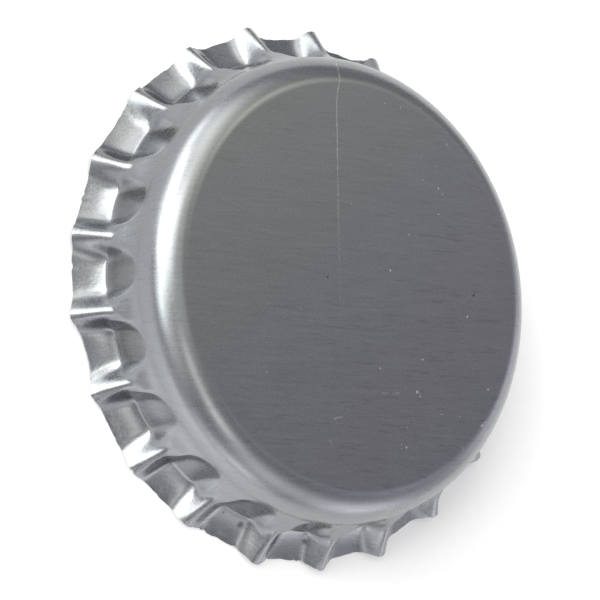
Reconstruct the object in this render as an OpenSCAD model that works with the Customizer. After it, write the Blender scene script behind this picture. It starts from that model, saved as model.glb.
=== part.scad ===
// Crown cap for a bottle, as supplied before it is crimped: a thin steel shell
// pressed in one piece, with a fluted skirt, and a moulded sealing liner that
// sits against the inside of the top panel.
// Units are millimetres. +Z runs up through the top panel. The origin is on
// the axis, level with the lowest edge of the skirt, and a flute tip lies on +X.

/* [Shell] */
// Overall height, from the resting edge of the skirt to the top panel
cap_h = 6.0; // [5.8:0.05:6.2]
// Diameter over the flute tips
tip_d = 32.1; // [31.8:0.1:32.4]
// Outer diameter of the short round wall between shoulder and flutes
wall_d = 27.2; // [27.0:0.05:27.4]
// Height of the shoulder between top panel and wall
shoulder_h = 2.2; // [1.9:0.05:2.3]
// Radius of the tighter bend at the top panel's edge
edge_r = 1.3; // [1.0:0.05:1.6]
// How far that bend turns before the shoulder's larger radius takes over
edge_a = 20; // [14:1:24]
// Thickness of the steel sheet
sheet = 0.24; // [0.20:0.01:0.28]

/* [Flutes] */
// Number of flutes round the skirt
flutes = 21; // [20:1:24]
// Diameter of the rim in the hollows, midway between two tips
hollow_d = 30.84; // [30.4:0.04:31.2]
// Height of the outer edge of a tip above the resting plane
tip_z = 0.70; // [0.5:0.05:0.9]
// Diameter of the bend where a hollow's wall turns out into its apron
bend_d = 27.62; // [27.4:0.02:27.8]
// Height of that bend above the resting plane
bend_z = 1.13; // [1.0:0.05:1.3]
// Radius of that bend
bend_r = 0.42; // [0.2:0.02:0.5]
// Height at which the flutes leave the round wall
flute_top_z = 3.65; // [3.4:0.05:3.7]
// Diameter of the knee where the steep band turns into a flared ridge
knee_d = 28.56; // [28.4:0.04:28.9]
// Height of that knee above the resting plane
knee_z = 2.30; // [2.1:0.05:2.5]
// Slope of a hollow's apron where it leaves the bend, below the horizontal
apron_in = 43; // [36:1:50]
// Slope of the apron at the rim
apron_out = 20; // [14:1:28]
// Half width of a hollow's recess at the bend, as a share of the flute pitch
recess_w = 0.365; // [0.32:0.005:0.39]
// How narrow the ridge between two hollows is at the rim
ridge_rim = 3.6; // [3:0.2:5]
// How much of the apron's section is one shallow dish
dish = 0.08; // [0:0.02:0.3]
// How far the middle of a hollow's wall swells outward
belly = 0.07; // [0:0.01:0.12]

/* [Liner] */
// Thickness of the liner's thin middle
liner_t = 0.25; // [0.2:0.05:0.35]
// Depth of the sealing bead at its two ribs
bead_t = 0.95; // [0.8:0.05:1.05]
// Inner diameter of the sealing bead
bead_id = 20.4; // [19.6:0.2:21]
// Outer diameter of the sealing bead
bead_od = 25.8; // [25.4:0.1:26]

/* [Hidden] */

steel = [0.66, 0.67, 0.70];
compound = [0.84, 0.86, 0.84];

wall_r = wall_d / 2;
bore_r = wall_r - sheet;
tip_r = tip_d / 2;
hollow_r = hollow_d / 2;
bend_at = [bend_d / 2, bend_z];
knee = [knee_d / 2, knee_z];
seat_z = cap_h - sheet;                // underside of the top panel
wall_top_z = cap_h - shoulder_h;       // where the shoulder meets the wall
// Radius of the main part of the shoulder, and edge of the flat top
body_r = (shoulder_h - edge_r * (1 - cos(edge_a))) / cos(edge_a);
flat_r = wall_r - edge_r * sin(edge_a) - body_r * (1 - sin(edge_a));
edge_at = [flat_r, cap_h - edge_r];    // centre of the edge bend
body_at = [wall_r - body_r, wall_top_z]; // centre of the shoulder's main radius
rim_z = sheet * cos(apron_out);        // height of the apron's outer edge

steps = 14;                            // facets round each flute
cols = flutes * steps;
// Stations down the skirt, from the round wall (0) to the rim (1)
rows = [0, 0.08, 0.18, 0.30, 0.43, 0.55, 0.605, 0.66, 0.80, 1];
bend_from = 0.55;
bend_to = 0.66;
knee_u = 0.50;
recess_soft = 0.17;                    // width of the recess's flank, as a share of the pitch
recess_arch = 2.4;                     // how square the recess's arched top is
recess_bowl = 0.10;                    // how far its floor rises towards its sides
buried = 0.10;                         // how far the skirt's root runs up inside the wall
skin = 0.01;                           // and how far inside its faces it stays

function unit(v) = v / norm(v);
function mix(a, b, t) = a + (b - a) * t;
function clamp01(x) = min(1, max(0, x));
function smooth(x) = let (c = clamp01(x)) c * c * (3 - 2 * c);
function softmin(a, b, k) = let (h = clamp01(0.5 + 0.5 * (b - a) / k)) mix(b, a, h) - k * h * (1 - h);
function bez2(a, b, c, t) = (1 - t) * (1 - t) * a + 2 * t * (1 - t) * b + t * t * c;
function bez3(a, b, c, d, t) =
    pow(1 - t, 3) * a + 3 * t * pow(1 - t, 2) * b + 3 * t * t * (1 - t) * c + pow(t, 3) * d;

// Where a line from p sloping down at a meets the line that reaches q sloping down at b
function meet(p, a, q, b) = let (
    d = q - p,
    t = (d[0] * sin(b) + d[1] * cos(b)) / (cos(a) * sin(b) - sin(a) * cos(b)))
    p + t * [cos(a), -sin(a)];

// Meridian down the middle of a hollow, as [radius, height]: wall, bend, apron
hollow_from = [wall_r, flute_top_z];
hollow_to = [hollow_r, rim_z];
wall_mid = [wall_r - 0.08, bend_z + 1.12];
apron_mid = meet(bend_at, apron_in, hollow_to, apron_out);
down = unit(bend_at - wall_mid);
out = unit(apron_mid - bend_at);
bend_tan = bend_r * tan(acos(down * out) / 2);
bend_a = bend_at - down * bend_tan;
bend_b = bend_at + out * bend_tan;
function hollow(u) =
    u < bend_from ? bez3(hollow_from, hollow_from + [0, -0.55], wall_mid, bend_a, u / bend_from)
    : u < bend_to ? bez2(bend_a, bend_at, bend_b, (u - bend_from) / (bend_to - bend_from))
    : bez2(bend_b, apron_mid, hollow_to, (u - bend_to) / (1 - bend_to));

// Meridian along a ridge: a steep band below the wall, then out along the ridge to the tip
function crest(u) = u < knee_u
    ? bez3(hollow_from, hollow_from + [0.03, -0.40], knee + [-0.24, 0.50], knee, u / knee_u)
    : bez3(knee, knee + [0.25, -0.36], [tip_r - 0.95, tip_z + 0.76], [tip_r, tip_z], (u - knee_u) / (1 - knee_u));

// Share of the crest in the section at angle a: 1 on a ridge, 0 in a hollow.
// High up, each hollow is a recess with an arched top; at the rim, it is all
// of the section but a narrow ridge.
function share(a, u) = let (
    ph = a / (360 / flutes),
    y = 0.5 - abs(ph - round(ph)),
    v = clamp01((u - 0.01) / (bend_from - 0.01)),
    h = recess_w * pow(max(0, 1 - pow(1 - v, recess_arch)), 1 / recess_arch),
    soft = recess_soft * (0.80 + 0.15 * v),
    rise = recess_bowl * pow(y / recess_w, 2),
    upper = softmin(pow(min(1.6, max(0, (y - (h - soft)) / soft)), 1.6) + rise, 1, 0.45),
    c2 = pow(cos(180 * ph), 2),
    lower = (1 - dish) * pow(c2, ridge_rim) + dish * c2)
    mix(upper, lower, smooth((u - 0.34) / 0.40));

// How far the wall of a hollow swells outward at angle a
function swell(a, u) = let (
    ph = a / (360 / flutes),
    y = 0.5 - abs(ph - round(ph)))
    belly * max(0, 1 - pow(y / 0.30, 2)) * exp(-pow((u - 0.46) / 0.24, 2));

function skin_point(a, u) = let (
    w = share(a, u),
    p = mix(hollow(u) + [swell(a, u), 0], crest(u), w))
    [p[0] * cos(a), p[0] * sin(a), p[1]];

// Outward normal of the outer face, from differences along and across the skirt
function skin_normal(a, u) = let (
    d = 0.004, u0 = max(0, u - d), u1 = min(1, u + d),
    along = skin_point(a, u1) - skin_point(a, u0),
    across = skin_point(a + 0.05, u) - skin_point(a - 0.05, u))
    unit(cross(along, across));

function inner_point(a, u) = skin_point(a, u) - sheet * skin_normal(a, u);

// The skirt's two faces, row by row: down the outside, then up the inside.
// The first and last rows are the root buried in the round wall.
outer_rows = [for (u = rows) if (u > 0) [for (i = [0 : cols - 1]) skin_point(i * 360 / cols, u)]];
inner_rows = [for (k = [len(rows) - 1 : -1 : 1]) [for (i = [0 : cols - 1]) inner_point(i * 360 / cols, rows[k])]];
function ring(r, z) = [for (i = [0 : cols - 1]) [r * cos(i * 360 / cols), r * sin(i * 360 / cols), z]];
skirt_rows = concat(
    [ring(wall_r - skin, flute_top_z + buried), ring(wall_r - skin, flute_top_z)],
    outer_rows, inner_rows,
    [ring(bore_r + skin, flute_top_z), ring(bore_r + skin, flute_top_z + buried)]);

module skirt() {
    n = len(skirt_rows);
    polyhedron(
        points = [for (row = skirt_rows) for (p = row) p],
        faces = [for (k = [0 : n - 1]) for (i = [0 : cols - 1])
            let (j = (i + 1) % cols, m = (k + 1) % n)
            each [[k * cols + i, k * cols + j, m * cols + j],
                  [k * cols + i, m * cols + j, m * cols + i]]],
        convexity = 12);
}

// The shoulder's quarter: the edge bend, then its main radius, drawn in by t
// from the outer face, and filled back to the axis.
module shoulder_quarter(t) {
    turn = [sin(edge_a), cos(edge_a)];
    far = 2 * shoulder_h;
    translate([0, wall_top_z]) square([flat_r, shoulder_h - t]);
    intersection() {
        translate(edge_at) circle(r = edge_r - t, $fn = 96);
        polygon([edge_at, edge_at + [0, far], edge_at + far * turn]);
    }
    intersection() {
        translate(body_at) circle(r = body_r - t, $fn = 96);
        polygon([body_at, body_at + far * turn, body_at + [far, far], body_at + [far, 0]]);
    }
}

// Section of the top panel, shoulder and round wall, turned about the axis
module panel_section() {
    difference() {
        union() {
            shoulder_quarter(0);
            translate([0, flute_top_z]) square([wall_r, wall_top_z - flute_top_z]);
        }
        shoulder_quarter(sheet);
        translate([0, flute_top_z - 1]) square([bore_r, wall_top_z - flute_top_z + 1]);
    }
}

module crown_shell() {
    color(steel) union() {
        rotate_extrude($fn = 180) panel_section();
        skirt();
    }
}

// The liner's thin middle lies flat on the panel's underside. Its bead fills
// the shoulder, has a rib each side of the channel that the bottle's lip
// presses into, and clears the shoulder's inner radius by a hair.
module liner_section() {
    clear = 0.02;
    rib = 0.45;
    bead_z = seat_z - bead_t;
    mid_r = (bead_id + bead_od) / 4;
    round_r = wall_r - shoulder_h;         // where the bead's outer rounding is centred
    translate([0, seat_z - liner_t]) square([bead_id / 2 + rib, liner_t]);
    difference() {
        intersection() {
            translate([bead_id / 2, bead_z]) square([(bead_od - bead_id) / 2, bead_t]);
            union() {
                translate([0, bead_z - 1]) square([round_r, bead_t + 1]);
                translate([round_r, wall_top_z]) circle(r = bore_r - round_r - clear, $fn = 96);
            }
        }
        translate([mid_r, bead_z - 0.35]) circle(r = (bead_od - bead_id) / 4 - rib, $fn = 64);
    }
}

module sealing_liner() {
    color(compound) rotate_extrude($fn = 180) liner_section();
}

crown_shell();
sealing_liner();
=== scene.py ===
import math
import bpy
import numpy as np
from mathutils import Matrix, Vector


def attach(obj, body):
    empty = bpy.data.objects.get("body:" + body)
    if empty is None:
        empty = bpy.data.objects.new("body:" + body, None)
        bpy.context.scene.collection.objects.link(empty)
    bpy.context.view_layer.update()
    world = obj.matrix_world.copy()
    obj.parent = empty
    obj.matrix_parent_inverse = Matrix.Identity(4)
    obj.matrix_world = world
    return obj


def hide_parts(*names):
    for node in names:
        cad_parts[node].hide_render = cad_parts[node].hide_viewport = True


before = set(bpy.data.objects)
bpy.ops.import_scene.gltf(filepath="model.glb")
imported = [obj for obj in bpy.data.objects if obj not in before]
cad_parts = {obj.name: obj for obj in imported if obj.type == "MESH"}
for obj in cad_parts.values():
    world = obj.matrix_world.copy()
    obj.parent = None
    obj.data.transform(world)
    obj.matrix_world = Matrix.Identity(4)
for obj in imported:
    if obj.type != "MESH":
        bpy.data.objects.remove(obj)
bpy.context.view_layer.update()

MM = 0.001
scene = bpy.context.scene

# ------------------------------------------------------------------ camera
cam_data = bpy.data.cameras.new("camera")
cam_data.sensor_fit = "HORIZONTAL"
cam_data.sensor_width = 36.0
cam_data.lens = 2684.63 / 600.0 * 36.0
cam_data.clip_start, cam_data.clip_end = 0.01, 20.0
cam = bpy.data.objects.new("camera", cam_data)
scene.collection.objects.link(cam)
fwd = Vector((0.3485169, -0.49878728, -0.79356614)).normalized()
right = Vector((0.28065024, -0.75227275, 0.59608822)).normalized()
up = right.cross(fwd).normalized()
right = fwd.cross(up).normalized()
m = Matrix((right, up, -fwd)).transposed().to_4x4()
m.translation = Vector((-55.13803, 78.54923, 125.56107)) * MM
cam.matrix_world = m
scene.camera = cam

# ------------------------------------------------------------------ shape of the pressed sheet (mm)
N_FL = 21
SHEET = 0.24
WALL_R, SHOULDER = 13.6, 2.2                               # shoulder height
EDGE_R, EDGE_A = 1.30, math.radians(20)                    # tight bend at the panel's edge, and how far it turns
CAP_H = 6.0
TIP_R, TIP_Z = 16.05, 0.70
HOL_R = 15.42
BEND = np.array([13.81, 1.13])                             # where a hollow's wall turns out into its apron
BEND_R = 0.42
FL_TOP = 3.80
BODY_R = (SHOULDER - EDGE_R * (1 - math.cos(EDGE_A))) / math.cos(EDGE_A)   # the rest of the shoulder
FLAT_R = WALL_R - EDGE_R * math.sin(EDGE_A) - BODY_R * (1 - math.sin(EDGE_A))
WALL_TOP = CAP_H - SHOULDER
PITCH = 2 * math.pi / N_FL
APRON_IN, APRON_OUT = math.radians(43), math.radians(20)   # apron slope at the bend and at the rim
RIM_Z = SHEET * math.cos(APRON_OUT)
U0, U1 = 0.55, 0.66                                        # wall, bend and apron parts of a hollow
KNEE = np.array([14.28, 2.30])                             # where the steep band turns into the flared ridge
U_KNEE = 0.50
rng = np.random.default_rng(2111)


def unit(v):
    return v / np.linalg.norm(v)


def meet(p, a, q, b):
    """Where the line from p at slope a meets the line back from q at slope b (both below horizontal)."""
    da, db = np.array([math.cos(a), -math.sin(a)]), np.array([-math.cos(b), math.sin(b)])
    t = np.linalg.solve(np.array([da, -db]).T, q - p)
    return p + da * t[0]


def bez(p, t):
    t = float(t)
    p = list(p)
    while len(p) > 1:
        p = [x * (1 - t) + y * t for x, y in zip(p[:-1], p[1:])]
    return p[0]


def smooth(x):
    x = np.clip(x, 0, 1)
    return x * x * (3 - 2 * x)


def softmin(a, b, k):
    h = np.clip(0.5 + 0.5 * (b - a) / k, 0, 1)
    return b * (1 - h) + a * h - k * h * (1 - h)


HF, HT = np.array([WALL_R, FL_TOP]), np.array([HOL_R, RIM_Z])
APRON_MID = meet(BEND, APRON_IN, HT, APRON_OUT)
WALL_MID = np.array([WALL_R - 0.08, 2.25])
DOWN, OUT = unit(BEND - WALL_MID), unit(APRON_MID - BEND)
TAN = BEND_R * math.tan(math.acos(DOWN @ OUT) / 2)
BA, BB = BEND - DOWN * TAN, BEND + OUT * TAN


def hollow(u):
    """Meridian down the middle of a hollow: wall, bend, apron."""
    if u < U0:
        return bez([HF, HF + (0, -0.6), WALL_MID, BA], u / U0)
    if u < U1:
        return bez([BA, BEND, BB], (u - U0) / (U1 - U0))
    return bez([BB, APRON_MID, HT], (u - U1) / (1 - U1))


def crest(u):
    """Meridian along a ridge: a steep band below the shoulder, then out along the ridge to the tip."""
    if u < U_KNEE:
        return bez([np.array([WALL_R, FL_TOP]), np.array([WALL_R + 0.03, FL_TOP - 0.45]),
                    KNEE + (-0.24, 0.50), KNEE], u / U_KNEE)
    return bez([KNEE, KNEE + (0.25, -0.36), np.array([TIP_R - 0.95, TIP_Z + 0.76]),
                np.array([TIP_R, TIP_Z])], (u - U_KNEE) / (1 - U_KNEE))


HALF_W, SOFT, KINK, P_RIM, DISH, G0, G1, ARCH, BOWL, BELLY = 0.365, 0.17, 0.45, 3.6, 0.08, 0.34, 0.74, 2.4, 0.10, 0.07

# A press never strikes every flute alike: small differences from one to the next.
TIP_DR = [0.00, 0.06, 0.00, -0.07, -0.13, -0.05, -0.09, 0.10, 0.02, 0.03, -0.04, 0.09, 0.03, 0.04, -0.03, 0.05, -0.06, 0.02, -0.04, 0.07, -0.02]
HOL_DR = [-0.20, -0.10, 0.08, 0.14, 0.12, 0.16, 0.22, -0.32, 0.24, 0.28, 0.12, 0.06, -0.06, -0.20, 0.05, 0.12, -0.10, 0.04, 0.10, -0.08, -0.05]
TIP_DA = [0.02, 0.04, 0.03, 0.0, -0.01, 0.03, 0.0, -0.03, -0.08, -0.06, -0.11, 0.0, -0.03, -0.06, -0.04, 0.03, -0.02, 0.04, 0.0, -0.03, 0.02]
SCOOP_W = rng.normal(0, 0.035, N_FL)                       # share of its width
SCOOP_T = rng.normal(0, 0.020, N_FL)                       # where its top starts, in u
CREASE_R = rng.normal(0, 0.030, N_FL)                      # mm


def around(values, pos):
    """Smooth interpolation of one value a flute, pos counted in flutes."""
    v = np.asarray(values, float)
    k = np.floor(pos).astype(int)
    t = pos - k
    s = t * t * (3 - 2 * t)
    return v[k % N_FL] * (1 - s) + v[(k + 1) % N_FL] * s


PER = 40                                                   # columns a flute, closer together on the ridges
COLS = N_FL * PER
tt = np.arange(COLS) / PER
pos = tt - 0.40 / (2 * math.pi) * np.sin(2 * math.pi * tt)
theta = pos * PITCH


def share(ph, u):
    """1 on a ridge, 0 in a hollow; ph counted in flutes, 0 on a ridge."""
    x = np.abs(ph - np.round(ph))                          # 0 on the ridge, 0.5 in the hollow
    y = 0.5 - x
    dt = 0.01 + around(SCOOP_T, pos - 0.5) * (u < U0)
    v = np.clip((u - dt) / (U0 - dt), 0, 1)
    h = HALF_W * (1 + around(SCOOP_W, pos - 0.5)) * np.maximum(0.0, 1 - (1 - v) ** ARCH) ** (1 / ARCH)
    soft = SOFT * (0.80 + 0.15 * v)
    upper = softmin(np.clip((y - (h - soft)) / soft, 0, 1.6) ** 1.6 + BOWL * (y / HALF_W) ** 2, 1.0, KINK)
    c2 = np.maximum(0, np.cos(math.pi * ph) ** 2)
    lower = (1 - DISH) * c2 ** P_RIM + DISH * c2
    g = float(smooth((u - G0) / (G1 - G0)))
    return upper * (1 - g) + lower * g


# The blank was trimmed on a worn die: the rim wanders a little and has small nicks.
def wrapped(x, width):
    k = np.exp(-0.5 * (np.arange(-12, 13) / width) ** 2)
    k /= np.sqrt((k ** 2).sum())
    return np.convolve(np.concatenate([x[-12:], x, x[:12]]), k, "valid")


ragged = 0.016 * wrapped(rng.normal(0, 1, COLS), 1.3) + 0.018 * wrapped(rng.normal(0, 1, COLS), 5.0)
for c in rng.integers(0, COLS, 46):
    w = int(rng.integers(1, 4))
    ragged[np.arange(c, c + w) % COLS] -= rng.uniform(0.03, 0.09)
ragged = np.clip(ragged, -0.11, 0.05)


def skirt_row(u):
    """Outer face of the skirt at station u, as COLS points, and how far each is up a ridge."""
    shift = around(TIP_DA, pos) * u
    ph = pos - shift
    w = share(ph, u)
    h, c = hollow(u), crest(u)
    g = u * u
    crease = around(CREASE_R, pos - 0.5) * math.exp(-((u - 0.6) / 0.16) ** 2)
    y = 0.5 - np.abs(ph - np.round(ph))
    belly = BELLY * np.maximum(0, 1 - (y / 0.30) ** 2) * math.exp(-((u - 0.46) / 0.24) ** 2)   # the wall swells outward
    hr = h[0] + around(HOL_DR, pos - 0.5) * g * 0.55 + crease + belly
    hz = h[1] - around(HOL_DR, pos - 0.5) * g * 0.25
    cr = c[0] + around(TIP_DR, pos) * g
    r = hr + (cr - hr) * w + ragged * smooth((u - 0.90) / 0.10)
    z = hz + (c[1] - hz) * w
    return np.stack([r * np.cos(theta), r * np.sin(theta), z], 1), w


us = list(np.linspace(0, U0, 18)) + list(np.linspace(U0, U1, 8))[1:] + list(np.linspace(U1, 0.94, 10))[1:] + [0.965, 0.985, 1.0]
outer, ridge, drawn, dist = [], [], [], []                 # dist: way along the sheet from the centre
arc = 0.0
last = None
for r in (2.0, 4.0, 6.0, 8.0, 9.8, 11.0, 11.6):
    outer.append(np.stack([r * np.cos(theta), r * np.sin(theta), np.full(COLS, CAP_H)], 1))
    ridge.append(np.zeros(COLS)); drawn.append(0.0); dist.append(r)
tilts = list(np.linspace(0, EDGE_A, 8)) + list(np.linspace(EDGE_A, math.pi / 2, 14))[1:]
for a in tilts:
    if a <= EDGE_A:
        r, z = FLAT_R + EDGE_R * math.sin(a), CAP_H - EDGE_R * (1 - math.cos(a))
    else:
        r, z = WALL_R - BODY_R * (1 - math.sin(a)), WALL_TOP + BODY_R * math.cos(a)
    outer.append(np.stack([r * np.cos(theta), r * np.sin(theta), np.full(COLS, z)], 1))
    ridge.append(np.zeros(COLS)); drawn.append(float(smooth(a / 1.2)))
    dist.append(FLAT_R + EDGE_R * min(a, EDGE_A) + BODY_R * max(a - EDGE_A, 0))
first_skirt = len(outer)
prev = crest(0) * 0.5 + hollow(0) * 0.5
s = dist[-1]
for u in us[1:]:
    p = crest(u) * 0.5 + hollow(u) * 0.5
    s += float(np.linalg.norm(p - prev))
    prev = p
    row, w = skirt_row(u)
    outer.append(row); ridge.append(w); drawn.append(1.0); dist.append(s)
grid = np.array(outer)
across = np.roll(grid, -1, 1) - np.roll(grid, 1, 1)
along = np.empty_like(grid)
along[1:-1] = grid[2:] - grid[:-2]
along[0], along[-1] = grid[1] - grid[0], grid[-1] - grid[-2]
nrm = np.cross(along, across)
nrm /= np.maximum(np.linalg.norm(nrm, axis=2, keepdims=True), 1e-12)
for k in range(len(outer)):
    if k < 7:
        nrm[k] = (0, 0, 1)
inner_all = grid - SHEET * nrm
n = len(outer)

# rows of the closed skin: down the outside, round the cut edge, up the inside
keep = [k for k in range(n - 1, -1, -1) if k < first_skirt or (n - 1 - k) % 2 == 0]
rows, kind, r_ridge, r_drawn, r_dist = [], [], [], [], []
for k in range(n):
    rows.append(grid[k]); kind.append(0.0); r_ridge.append(ridge[k]); r_drawn.append(drawn[k]); r_dist.append(dist[k])
burr = 0.012 * wrapped(rng.normal(0, 1, COLS), 0.9)
outward = np.stack([np.cos(theta), np.sin(theta), np.zeros(COLS)], 1)
for t in (0.0, 0.35, 0.7, 1.0):
    p = grid[-1] * (1 - t) + inner_all[-1] * t + outward * (burr * math.sin(math.pi * t))[:, None]
    rows.append(p); kind.append(1.0); r_ridge.append(ridge[-1]); r_drawn.append(1.0); r_dist.append(dist[-1] + SHEET * t)
for k in keep:
    rows.append(inner_all[k]); kind.append(2.0); r_ridge.append(ridge[k]); r_drawn.append(drawn[k]); r_dist.append(dist[k])
NR = len(rows)
V = np.concatenate(rows)
V[:, 2] = np.maximum(V[:, 2], 0.0)
V = np.concatenate([V, [[0, 0, CAP_H], [0, 0, CAP_H - SHEET]]])
A_kind = np.concatenate([np.repeat(kind, COLS), [0.0, 2.0]])
A_ridge = np.concatenate(r_ridge + [np.zeros(2)])
A_drawn = np.concatenate([np.repeat(r_drawn, COLS), [0.0, 0.0]])
blank = np.concatenate([np.stack([d * np.cos(theta), d * np.sin(theta), np.full(COLS, 40.0 * kd)], 1)
                        for d, kd in zip(r_dist, kind)] + [np.array([[0, 0, 0.0], [0, 0, 80.0]])])
top_c, bot_c = NR * COLS, NR * COLS + 1
i = np.arange(COLS)
j = (i + 1) % COLS
edge_a, edge_b = n, n + 3                                  # rows of the cut edge, its own vertices
quads = []
for k in range(NR - 1):
    if k in (n - 1, n + 3):
        continue                                           # the cut edge keeps its own crisp corners
    quads.append(np.stack([k * COLS + i, (k + 1) * COLS + i, (k + 1) * COLS + j, k * COLS + j], 1))
quads = np.concatenate(quads)
tris = np.concatenate([
    np.stack([np.full(COLS, top_c), i, j], 1),
    np.stack([np.full(COLS, bot_c), (NR - 1) * COLS + j, (NR - 1) * COLS + i], 1)])


def make_mesh(name, points, polys):
    me = bpy.data.meshes.new(name)
    me.from_pydata((points * MM).tolist(), [], polys)
    me.update()
    me.polygons.foreach_set("use_smooth", np.ones(len(me.polygons), bool))
    return me


mesh = make_mesh("pressed_shell", V, quads.tolist() + tris.tolist())
for name, data, form in (("sheet_kind", A_kind, "FLOAT"), ("ridge", A_ridge, "FLOAT"), ("drawn", A_drawn, "FLOAT"),
                         ("blank", blank, "FLOAT_VECTOR")):
    at = mesh.attributes.new(name, form, "POINT")
    at.data.foreach_set("vector" if form == "FLOAT_VECTOR" else "value", np.asarray(data, np.float32).ravel())
shell = bpy.data.objects.new("pressed_shell", mesh)
scene.collection.objects.link(shell)
print("shell tris", len(quads) * 2 + len(tris))


# ------------------------------------------------------------------ material building
class Nodes:
    def __init__(self, tree):
        self.t = tree

    def new(self, kind, **props):
        nd = self.t.nodes.new(kind)
        for k, v in props.items():
            setattr(nd, k, v)
        return nd

    def put(self, socket, v):
        if isinstance(v, bpy.types.NodeSocket):
            self.t.links.new(v, socket)
        elif v is not None:
            socket.default_value = v

    def attr(self, name, out="Fac"):
        return self.new("ShaderNodeAttribute", attribute_type="GEOMETRY", attribute_name=name).outputs[out]

    def math(self, op, a, b=None, c=None, clamp=False):
        nd = self.new("ShaderNodeMath", operation=op, use_clamp=clamp)
        for s, v in zip(nd.inputs, (a, b, c)):
            self.put(s, v)
        return nd.outputs[0]

    def vec(self, op, a, b=None, c=None, out=0):
        nd = self.new("ShaderNodeVectorMath", operation=op)
        for s, v in zip(nd.inputs, (a, b, c)):
            self.put(s, v)
        return nd.outputs[out]

    def scale(self, a, k):
        nd = self.new("ShaderNodeVectorMath", operation="SCALE")
        self.put(nd.inputs[0], a)
        self.put(nd.inputs["Scale"], k)
        return nd.outputs[0]

    def noise(self, v, scale=1.0, detail=2.0, rough=0.5, out="Fac"):
        nd = self.new("ShaderNodeTexNoise", noise_dimensions="3D")
        self.put(nd.inputs["Vector"], v)
        self.put(nd.inputs["Scale"], scale)
        self.put(nd.inputs["Detail"], detail)
        self.put(nd.inputs["Roughness"], rough)
        return nd.outputs[out]

    def remap(self, x, a, b, c, d, kind="SMOOTHSTEP"):
        nd = self.new("ShaderNodeMapRange", interpolation_type=kind)
        for s, v in zip(nd.inputs[:5], (x, a, b, c, d)):
            self.put(s, v)
        return nd.outputs[0]

    def mix(self, f, a, b, blend="MIX"):
        nd = self.new("ShaderNodeMix", data_type="RGBA", blend_type=blend)
        self.put(nd.inputs[0], f)
        self.put(nd.inputs[6], a)
        self.put(nd.inputs[7], b)
        return nd.outputs[2]

    def bump(self, height, distance, normal=None, strength=1.0):
        nd = self.new("ShaderNodeBump")
        self.put(nd.inputs["Height"], height)
        nd.inputs["Distance"].default_value = distance
        nd.inputs["Strength"].default_value = strength
        self.put(nd.inputs["Normal"], normal)
        return nd.outputs[0]

    def sum(self, *xs):
        out = xs[0]
        for x in xs[1:]:
            out = self.math("ADD", out, x)
        return out

    def dab(self, p, at, r0, r1):
        """1 within r0 of a place, fading to 0 at r1."""
        return self.remap(self.vec("DISTANCE", p, at, out="Value"), r0, r1, 1.0, 0.0)

    def stroke(self, p, a, b, r0, r1):
        """1 within r0 of the line from a to b, fading to 0 at r1."""
        a, b = Vector(a), Vector(b)
        ba = b - a
        pa = self.vec("SUBTRACT", p, tuple(a))
        h = self.math("MULTIPLY", self.vec("DOT_PRODUCT", pa, tuple(ba), out="Value"), 1.0 / ba.length_squared, clamp=True)
        nd = self.new("ShaderNodeVectorMath", operation="SCALE")
        nd.inputs[0].default_value = tuple(ba)
        self.put(nd.inputs["Scale"], h)
        return self.remap(self.vec("LENGTH", self.vec("SUBTRACT", pa, nd.outputs[0]), out="Value"), r0, r1, 1.0, 0.0)

    def most(self, xs):
        out = xs[0]
        for x in xs[1:]:
            out = self.math("MAXIMUM", out, x)
        return out


def material(name):
    mt = bpy.data.materials.new(name)
    mt.use_nodes = True
    return mt, Nodes(mt.node_tree), mt.node_tree.nodes["Principled BSDF"]


# ------------------------------------------------------------------ tinplate
RIM_WAY = float(dist[-1])
GRAIN = math.radians(-68.35)                               # rolling direction of the strip
mat, N, bsdf = material("tinplate")
P = N.attr("blank", "Vector")
kindv, ridgev, drawnv = N.attr("sheet_kind"), N.attr("ridge"), N.attr("drawn")
on_edge = N.remap(N.math("ABSOLUTE", N.math("SUBTRACT", kindv, 1.0)), 0.3, 0.5, 1.0, 0.0)
inside = N.remap(kindv, 1.4, 1.6, 0.0, 1.0)
ga = N.vec("DOT_PRODUCT", P, (math.cos(GRAIN), math.sin(GRAIN), 0), out="Value")
gb = N.vec("DOT_PRODUCT", P, (-math.sin(GRAIN), math.cos(GRAIN), 0), out="Value")


def grain(fa, fb, seed):
    c = N.new("ShaderNodeCombineXYZ")
    N.put(c.inputs[0], N.math("MULTIPLY", ga, fa))
    N.put(c.inputs[1], N.math("MULTIPLY", gb, fb))
    c.inputs[2].default_value = seed
    return c.outputs[0]


coarse = N.noise(grain(0.34, 4.2, 1.7), detail=3.0, rough=0.55)       # rolled lines
fine = N.noise(grain(0.9, 11.0, 5.1), detail=3.0, rough=0.6)          # fine lines between them
pits = N.noise(P, scale=7.0, detail=2.0, rough=0.6)                   # tin's crystalline speckle
mottle = N.noise(P, scale=0.35, detail=3.0, rough=0.5)                # broad cloudiness
peel = N.noise(P, scale=5.0, detail=3.0, rough=0.62)                  # roughening where the sheet was stretched
warp = N.scale(N.vec("SUBTRACT", N.noise(P, scale=7.0, detail=2.0, out="Color"), (0.5, 0.5, 0.5)), 0.16)
PW = N.vec("ADD", P, warp)

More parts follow.
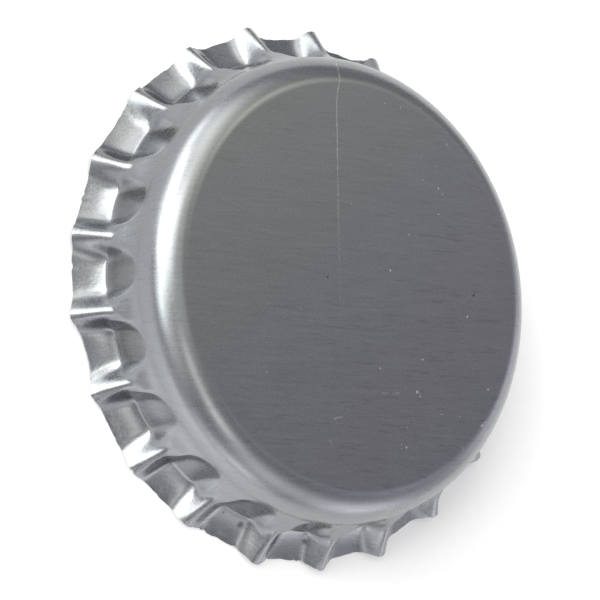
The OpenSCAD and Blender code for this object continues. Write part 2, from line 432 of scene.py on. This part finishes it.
# Handling marks, in millimetres on the flat blank
NICKS = [
    (10.77, -3.1, 0.055), (9.15, -1.67, 0.044), (9.13, -2.8, 0.044), (7.89, -2.21, 0.044), (8, -3.46, 0.066),
    (7.8, -3.85, 0.055), (6.54, -3.99, 0.044), (4.43, -2.42, 0.044), (2.06, -3.84, 0.033), (1.82, -1.88, 0.066),
    (-3.07, 3.2, 0.044), (1.79, -8.05, 0.066), (-2.04, -5.81, 0.055), (-3.84, -3.17, 0.055), (-7.39, 4.09, 0.033),
    (-4.01, -6.12, 0.088), (-4.14, -6.41, 0.055), (-4.16, -5.24, 0.033), (-1.61, -10.98, 0.066), (-4.47, -8.2, 0.044),
    (-4.03, -9.49, 0.044), (-6.22, -6.15, 0.044), (-7.34, -6.47, 0.077), (-7.54, -6.16, 0.044), (-7.32, -6.08, 0.033),
    (-3.79, -11.3, 0.077), (11.21, 0.76, 0.044), (10.87, 1.91, 0.044), (11.89, -0.61, 0.044), (10.76, -5.27, 0.033),
    (5.05, -1.96, 0.033), (4.21, 2.03, 0.027)]
DOTS = [
    (-0.52, 2.11, 0.09), (3.17, -8.04, 0.11), (-17.55, 1.01, 0.09)]
SMUDGES = [
    (-17.74, -0.71, 0.34), (-16.69, -6.33, 0.3)]
SCRATCHES = [
    (12, 5.59, 9.35, 5.09, 0.05, 0.9), (9.35, 5.09, 5.98, 3.76, 0.05, 1), (5.98, 3.76, 2.97, 2.57, 0.045, 0.8),
    (2.97, 2.57, 0.72, 1.66, 0.04, 0.45), (0.72, 1.66, -2.49, 0.4, 0.035, 0.2), (10.93, -2.64, 10.88, -3.06, 0.035, 0.5),
    (10.88, -3.06, 10.62, -3.32, 0.04, 0.6), (-7.9, -1.15, -7.56, -1.62, 0.05, 0.7), (-9.18, -1.32, -9.44, -1.57, 0.05, 0.6),
    (-5.13, -3.8, -4.93, -4.11, 0.04, 0.45), (-4.83, -4.46, -4.57, -4.92, 0.04, 0.45), (-3.92, -11.16, -3.43, -11.52, 0.05, 0.6),
    (-5.59, -10.14, -5.76, -10.47, 0.045, 0.5), (-3.87, -6.16, -4.16, -6.5, 0.045, 0.5), (-12.74, -6.37, -11.6, -7.19, 0.05, 0.5),
    (-11.6, -7.19, -10.73, -7.22, 0.05, 0.5), (-4.24, -11.77, -3.67, -12.22, 0.05, 0.5)]
ROLLED_IN = [
    (4.77, -3.1, 5.37, -4.57, 0.05, 1), (4.38, -4.44, 4.92, -5.78, 0.05, 0.9), (1.43, -3.75, 2.15, -5.65, 0.05, 0.7),
    (2.31, -5.83, 2.74, -7.13, 0.05, 0.8), (-3.11, 0.93, -2.67, -0.28, 0.05, 0.9), (-2.58, 0.06, -2.19, -1.02, 0.05, 0.7),
    (-3.79, 5.23, -3.44, 4.1, 0.05, 0.9), (0.58, -5.5, 1.38, -7.46, 0.045, 0.6), (1.9, -8.82, 2.53, -10.41, 0.05, 0.8),
    (-2.92, 10.18, -2.19, 8.59, 0.05, 0.6), (-5.66, 3.42, -5.29, 2.37, 0.05, 0.6), (-5.31, -2.32, -4.63, -4.23, 0.05, 0.5),
    (-7.6, 3.35, -6.84, 1.42, 0.05, 0.5)]
zero = 0.0
nick = N.most([N.dab(PW, (x, y, 0), r * 0.5, r) for x, y, r in NICKS]) if NICKS else zero
dot = N.most([N.dab(PW, (x, y, 0), r * 0.4, r) for x, y, r in DOTS]) if DOTS else zero
smudge = N.most([N.dab(PW, (x, y, 0), r * 0.2, r) for x, y, r in SMUDGES]) if SMUDGES else zero
scratch = N.most([N.math("MULTIPLY", N.stroke(PW, (ax, ay, 0), (bx, by, 0), w * 0.3, w), k)
                  for ax, ay, bx, by, w, k in SCRATCHES]) if SCRATCHES else zero
broken = N.remap(N.noise(P, scale=2.2, detail=3.0, rough=0.7), 0.36, 0.56, 0.0, 1.0)
scratch = N.math("MULTIPLY", scratch, N.remap(broken, 0.0, 1.0, 0.55, 1.0)) if SCRATCHES else zero
rolled = N.most([N.math("MULTIPLY", N.stroke(PW, (ax, ay, 0), (bx, by, 0), w * 0.2, w * 1.3), k)
                 for ax, ay, bx, by, w, k in ROLLED_IN])
flat = N.remap(drawnv, 0.0, 0.6, 1.0, 0.0)                            # 1 on the flat panel
# position across the flat panel towards its lower right; it drives a painted shade and a painted reflection tint below
down_right = N.math("MULTIPLY", N.vec("DOT_PRODUCT", P, (-0.46, -0.888, 0.0), out="Value"), flat)
dashes = N.remap(N.noise(grain(0.75, 7.0, 9.3), detail=2.0, rough=0.5), 0.57, 0.70, 0.0, 1.0)
dashes = N.math("MULTIPLY", dashes, N.remap(down_right, -9.0, 8.0, 0.30, 1.0))
rolled = N.math("MAXIMUM", rolled, N.math("MULTIPLY", dashes, 0.75))  # short dark lines the mill leaves

# tone of the sheet: rolled lines, fine lines, speckle, cloudiness and mill marks, plus a painted shade darkening the
# flat panel towards its lower right
tone = N.sum(N.remap(coarse, 0.28, 0.72, -0.014, 0.014, "LINEAR"), N.remap(fine, 0.25, 0.75, -0.030, 0.030, "LINEAR"),
             N.remap(pits, 0.25, 0.75, -0.055, 0.055, "LINEAR"), N.remap(mottle, 0.3, 0.7, -0.018, 0.018, "LINEAR"),
             N.math("MULTIPLY", down_right, -0.0065), N.math("MULTIPLY", rolled, -0.20))
way = N.vec("LENGTH", N.vec("MULTIPLY", P, (1.0, 1.0, 0.0)), out="Value")
apron = N.remap(way, RIM_WAY - 2.6, RIM_WAY - 1.2, 0.0, 1.0)         # 1 on the flared part of the skirt
stretched = N.sum(N.math("MULTIPLY", drawnv, 0.16), N.math("MULTIPLY", apron, 0.84))
tone = N.math("ADD", tone, N.math("MULTIPLY", N.remap(peel, 0.3, 0.7, -0.045, 0.045, "LINEAR"), stretched))
wall = N.math("MULTIPLY", N.remap(way, RIM_WAY - 4.6, RIM_WAY - 3.0, 0.0, 1.0), N.remap(way, RIM_WAY - 2.5, RIM_WAY - 2.1, 1.0, 0.0))
hollow_painted_shade = N.math("MULTIPLY", wall, N.remap(ridgev, 0.05, 0.45, 1.0, 0.0))      # painted shade: the hollows' walls darkened away from the ridges
# painted light: the ridge flanks in the wall band made lighter
flank_painted_light = N.math("MULTIPLY", wall, N.math("MULTIPLY", N.remap(ridgev, 0.10, 0.35, 0.0, 1.0), N.remap(ridgev, 0.65, 0.90, 1.0, 0.0)))
shade_side = N.remap(N.vec("DOT_PRODUCT", P, (-0.087, 0.996, 0.0), out="Value"), 10.6, 13.0, 0.0, 1.0)   # painted shade, strongest on one side of the cap
# painted shade in the hollows' walls and painted light on the ridge flanks of the wall band
tone = N.sum(tone, N.math("MULTIPLY", N.math("MULTIPLY", hollow_painted_shade, shade_side), -0.24), N.math("MULTIPLY", flank_painted_light, 0.26))
metal = (0.2530, 0.2613, 0.2723, 1)
worn = (0.46, 0.46, 0.455, 1)
base = N.new("ShaderNodeMix", data_type="RGBA", blend_type="MULTIPLY")
base.inputs[0].default_value = 1.0
N.put(base.inputs[6], metal)
gain = N.math("ADD", tone, 1.0)
comb = N.new("ShaderNodeCombineColor")
N.put(comb.inputs[0], gain)                                # a faint tint: painted reflection colour on the flat panel, less green and more blue towards its lower right; a little less blue on the flat panel than on the skirt
N.put(comb.inputs[1], N.math("MULTIPLY", gain, N.math("MULTIPLY_ADD", down_right, -0.0020, 1.0)))
N.put(comb.inputs[2], N.math("MULTIPLY", gain, N.math("MULTIPLY_ADD", down_right, 0.0030, N.remap(flat, 0.0, 1.0, 1.0, 0.984))))
N.put(base.inputs[7], comb.outputs[0])
base.clamp_result = False
col = base.outputs[2]
rub = N.math("MULTIPLY", N.remap(ridgev, 0.80, 1.0, 0.0, 1.0), N.remap(N.noise(P, scale=3.5, detail=3.0), 0.45, 0.65, 0.0, 0.35))
rub = N.math("MULTIPLY", rub, N.remap(way, RIM_WAY - 0.7, RIM_WAY - 0.1, 0.0, 1.0))
col = N.mix(rub, col, worn)
col = N.mix(inside, col, (0.33, 0.32, 0.29, 1))
col = N.mix(on_edge, col, (0.50, 0.50, 0.50, 1))
if NICKS:
    col = N.mix(N.math("MULTIPLY", nick, 0.85), col, (0.62, 0.62, 0.60, 1))
if SCRATCHES:
    col = N.mix(scratch, col, (0.50, 0.50, 0.49, 1))
if SMUDGES:
    col = N.mix(N.math("MULTIPLY", smudge, 0.75), col, (0.05, 0.048, 0.05, 1))
if DOTS:
    col = N.mix(N.math("MULTIPLY", dot, 0.8), col, (0.06, 0.04, 0.03, 1))
N.put(bsdf.inputs["Base Color"], col)
bsdf.inputs["Metallic"].default_value = 1.0

rough = N.sum(0.255, N.remap(coarse, 0.28, 0.72, -0.025, 0.025, "LINEAR"), N.remap(pits, 0.25, 0.75, -0.03, 0.03, "LINEAR"))
rough = N.math("ADD", rough, N.math("MULTIPLY", stretched, N.remap(peel, 0.3, 0.7, -0.06, 0.05, "LINEAR")))
rough = N.sum(rough, N.math("MULTIPLY", on_edge, 0.14), N.math("MULTIPLY", inside, 0.05), N.math("MULTIPLY", nick, 0.15) if NICKS else zero)
N.put(bsdf.inputs["Roughness"], rough)

height = N.math("MULTIPLY", coarse, 0.0014)
height = N.math("ADD", height, N.math("MULTIPLY", fine, 0.0010))
height = N.math("ADD", height, N.math("MULTIPLY", pits, 0.0008))
height = N.math("ADD", height, N.math("MULTIPLY", N.math("MULTIPLY", peel, stretched), 0.0080))
if NICKS:
    height = N.math("ADD", height, N.math("MULTIPLY", nick, 0.006))
if SCRATCHES:
    height = N.math("ADD", height, N.math("MULTIPLY", scratch, -0.004))
N.put(bsdf.inputs["Normal"], N.bump(height, 0.001))
mesh.materials.append(mat)
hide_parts("crown_shell")
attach(shell, "root")

# ------------------------------------------------------------------ liner: a moulded polymer gasket
lmat, L, lb = material("liner_compound")
LP = L.scale(L.new("ShaderNodeTexCoord").outputs["Object"], 1000.0)
sep = L.new("ShaderNodeSeparateXYZ")
L.put(sep.inputs[0], LP)
rad = L.math("SQRT", L.math("ADD", L.math("MULTIPLY", sep.outputs[0], sep.outputs[0]), L.math("MULTIPLY", sep.outputs[1], sep.outputs[1])))
ringv = L.new("ShaderNodeCombineXYZ")
L.put(ringv.inputs[0], L.math("MULTIPLY", rad, 6.0))
L.put(ringv.inputs[1], L.math("MULTIPLY", L.math("ARCTAN2", sep.outputs[1], sep.outputs[0]), 0.35))
L.put(ringv.inputs[2], L.math("MULTIPLY", sep.outputs[2], 3.0))
turned = L.noise(ringv.outputs[0], detail=3.0, rough=0.6)              # turning marks of the mould
flow = L.noise(LP, scale=0.28, detail=4.0, rough=0.55)                 # cloudiness of the compound
grit = L.noise(LP, scale=6.5, detail=2.0, rough=0.5)
specks = L.remap(L.noise(LP, scale=2.4, detail=1.0), 0.70, 0.76, 0.0, 1.0)
lcol = L.mix(L.remap(flow, 0.35, 0.65, 0.0, 1.0), (0.70, 0.72, 0.69, 1), (0.83, 0.84, 0.81, 1))
lcol = L.mix(L.remap(turned, 0.35, 0.65, 0.0, 0.22), lcol, (0.60, 0.63, 0.61, 1))
lcol = L.mix(L.math("MULTIPLY", specks, 0.4), lcol, (0.45, 0.46, 0.44, 1))
L.put(lb.inputs["Base Color"], lcol)
L.put(lb.inputs["Roughness"], L.remap(grit, 0.3, 0.7, 0.30, 0.52, "LINEAR"))
lb.inputs["Subsurface Weight"].default_value = 0.25
lb.inputs["Subsurface Scale"].default_value = 0.0006
lb.inputs["Subsurface Radius"].default_value = (1.0, 1.0, 0.9)
lh = L.math("ADD", L.math("MULTIPLY", turned, 0.010), L.math("MULTIPLY", grit, 0.004))
L.put(lb.inputs["Normal"], L.bump(lh, 0.001))
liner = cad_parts["sealing_liner"]
liner.data.materials.clear()
liner.data.materials.append(lmat)
for p in liner.data.polygons:
    p.material_index = 0

# ------------------------------------------------------------------ floor and backdrop
FLOOR_R = 3.0


def disc(name, radius, z, rings):
    c = 96
    pts = [(0, 0, z)]
    for q in rings:
        pts += [(radius * q * math.cos(2 * math.pi * k / c), radius * q * math.sin(2 * math.pi * k / c), z) for k in range(c)]
    fs = [(0, 1 + k, 1 + (k + 1) % c) for k in range(c)]
    for q in range(len(rings) - 1):
        a0, b0 = 1 + q * c, 1 + (q + 1) * c
        fs += [(a0 + k, b0 + k, b0 + (k + 1) % c, a0 + (k + 1) % c) for k in range(c)]
    me = bpy.data.meshes.new(name)
    me.from_pydata(pts, [], fs)
    me.update()
    ob = bpy.data.objects.new(name, me)
    scene.collection.objects.link(ob)
    return ob


floor = disc("floor", FLOOR_R, 0.0, (0.02, 0.1, 0.4, 1.0))
fmat, F, fb = material("floor_paper")
FP = F.scale(F.new("ShaderNodeTexCoord").outputs["Object"], 1000.0)
fine_f = F.noise(FP, scale=1.6, detail=3.0)
F.put(fb.inputs["Base Color"], F.mix(F.remap(fine_f, 0.3, 0.7, 0.0, 1.0), (0.876, 0.876, 0.876, 1), (0.888, 0.888, 0.888, 1)))
# painted pool of light: the floor itself emits a soft patch of light in front of the cap
near = F.vec("DISTANCE", F.vec("MULTIPLY", FP, (1.0, 1.0, 0.0)), (-33.0, 12.0, 0.0), out="Value")
glow = F.math("EXPONENT", F.math("MULTIPLY", F.math("MULTIPLY", near, near), -1.0 / (2 * 13.0 ** 2)))
fb.inputs["Emission Color"].default_value = (1.0, 1.0, 1.0, 1.0)
F.put(fb.inputs["Emission Strength"], F.math("MULTIPLY", glow, 0.70))
fb.inputs["Roughness"].default_value = 0.95
fb.inputs["Specular IOR Level"].default_value = 0.0
floor.data.materials.append(fmat)

dome_me = bpy.data.meshes.new("backdrop")
pts, fs = [], []
c, rr = 64, 16
for a in range(rr + 1):
    el = math.radians(-6 + 96 * a / rr)
    for k in range(c):
        az = 2 * math.pi * k / c
        pts.append((FLOOR_R * 0.98 * math.cos(el) * math.cos(az), FLOOR_R * 0.98 * math.cos(el) * math.sin(az), FLOOR_R * 0.98 * math.sin(el)))
for a in range(rr):
    for k in range(c):
        q = (k + 1) % c
        fs.append((a * c + k, a * c + q, (a + 1) * c + q, (a + 1) * c + k))
dome_me.from_pydata(pts, [], fs)
dome_me.update()
dome = bpy.data.objects.new("backdrop", dome_me)
scene.collection.objects.link(dome)
dmat = bpy.data.materials.new("backdrop_white")
dmat.use_nodes = True
dmat.node_tree.nodes.clear()
em = dmat.node_tree.nodes.new("ShaderNodeEmission")
em.inputs["Color"].default_value = (0.93, 0.935, 0.94, 1)
em.inputs["Strength"].default_value = 1.0
do = dmat.node_tree.nodes.new("ShaderNodeOutputMaterial")
dmat.node_tree.links.new(em.outputs[0], do.inputs["Surface"])
dome_me.materials.append(dmat)
dome.visible_diffuse = dome.visible_glossy = dome.visible_transmission = False
dome.visible_volume_scatter = dome.visible_shadow = False

# ------------------------------------------------------------------ studio light: broad soft sources round the bench
SOURCES = [                                                # azimuth, elevation (deg), sharpness, strength, tint
    (144, 10, 24, 0.35, (0.97, 1.03, 1.00)), (240, 10, 24, 1.94, (0.99, 0.98, 1.02)),
    (288, 10, 24, 1.11, (1.01, 0.97, 1.02)), (12, 32, 24, 0.15, (0.98, 0.99, 1.03)),
    (36, 32, 24, 2.31, (1.00, 1.03, 0.97)), (132, 32, 24, 0.80, (1.04, 1.02, 0.94)),
    (204, 32, 24, 1.13, (1.00, 1.00, 1.00)), (36, 54, 24, 0.91, (1.08, 1.01, 0.91)),
    (102, 76, 24, 0.55, (0.99, 1.04, 0.97)), (42, 8, 90, 3.23, (0.99, 1.02, 0.99)),
    (54, 8, 90, 3.69, (0.97, 1.03, 0.99)), (78, 8, 90, 2.93, (0.96, 1.03, 1.01)),
    (66, 22, 90, 12.07, (0.99, 1.00, 1.01)), (90, 22, 90, 9.99, (1.00, 1.01, 1.00)),
    (114, 22, 90, 5.28, (0.97, 1.03, 1.00)), (102, 36, 90, 4.74, (1.01, 1.03, 0.96)),
    (66, 50, 90, 4.29, (1.01, 1.02, 0.97)), (90, 50, 90, 3.93, (1.00, 1.02, 0.98)),
    (79, 37, 70, 3.60, (1.00, 1.02, 0.98)),
    (180, 52, 110, 2.48, (1.02, 1.02, 0.97)), (150, 60, 110, 2.03, (1.02, 1.02, 0.96)),
    (270, 42, 60, 0.54, (0.95, 0.94, 1.11)), (318, 42, 60, 0.29, (1.05, 0.95, 1.00)),
    (342, 54, 60, 1.30, (1.04, 1.06, 0.90)), (270, 66, 60, 0.25, (1.00, 1.03, 0.97)),
    (170, 3, 60, 1.04, (1.02, 1.02, 0.96)), (190, 3, 60, 2.27, (1.01, 0.99, 1.00))]
AMBIENT = (0.416, 0.413, 0.447)
world = bpy.data.worlds.new("studio")
world.use_nodes = True
world.node_tree.nodes.clear()
W = Nodes(world.node_tree)
D = W.new("ShaderNodeTexCoord").outputs["Generated"]
total = AMBIENT
for az, el, sharp, power, tint in SOURCES:
    a, e = math.radians(az), math.radians(el)
    d = (math.cos(e) * math.cos(a), math.cos(e) * math.sin(a), math.sin(e))
    glow = W.math("EXPONENT", W.math("MULTIPLY_ADD", W.vec("DOT_PRODUCT", D, d, out="Value"), float(sharp), -float(sharp)))
    nd = W.new("ShaderNodeVectorMath", operation="MULTIPLY_ADD")
    W.put(nd.inputs[0], glow)
    nd.inputs[1].default_value = tuple(power * q for q in tint)
    W.put(nd.inputs[2], total)
    total = nd.outputs[0]
bg = W.new("ShaderNodeBackground")
W.put(bg.inputs["Color"], total)
wo = W.new("ShaderNodeOutputWorld")
W.t.links.new(bg.outputs[0], wo.inputs["Surface"])
scene.world = world
scene.view_settings.view_transform = "Standard"
scene.view_settings.look = "None"
